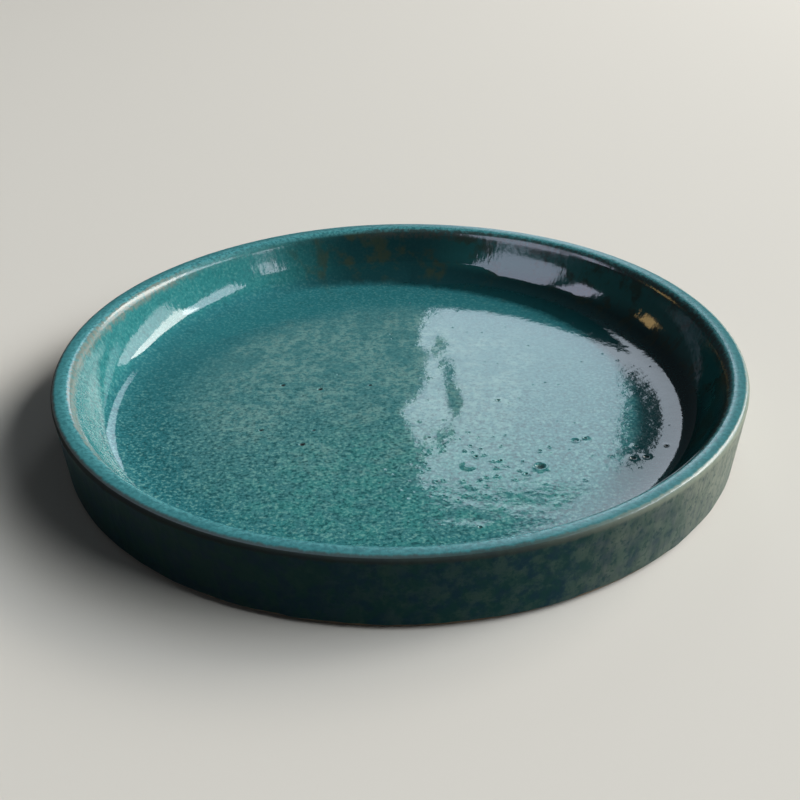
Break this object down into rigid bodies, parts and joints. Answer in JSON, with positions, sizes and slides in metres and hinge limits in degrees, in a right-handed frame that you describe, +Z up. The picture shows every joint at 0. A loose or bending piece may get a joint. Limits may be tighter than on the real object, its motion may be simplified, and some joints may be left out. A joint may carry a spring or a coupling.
{
  "type": "plant saucer",
  "caption": "Round glazed stoneware saucer: a low flat-floored dish with a thick upright wall and a bare clay foot ring, for catching water under a plant pot.",
  "frame": {"origin": "centre of the plane that the foot ring rests on, on the axis of the dish", "axes": "+Z up along the axis of the dish; X and Y lie in the resting plane, and the round dish looks the same from every side"},
  "size_m": [0.1998, 0.1998, 0.0222],
  "materials": {
    "fired_clay": "bare, slightly rough",
    "inner_glaze": "glossy teal with fine speckle",
    "outer_glaze": "glossy blue-teal with olive patches"
  },
  "bodies": {
    "root": {"stoneware_body": "fired_clay", "inner_glaze": "inner_glaze", "outer_glaze": "outer_glaze"}
  },
  "joints": []
}
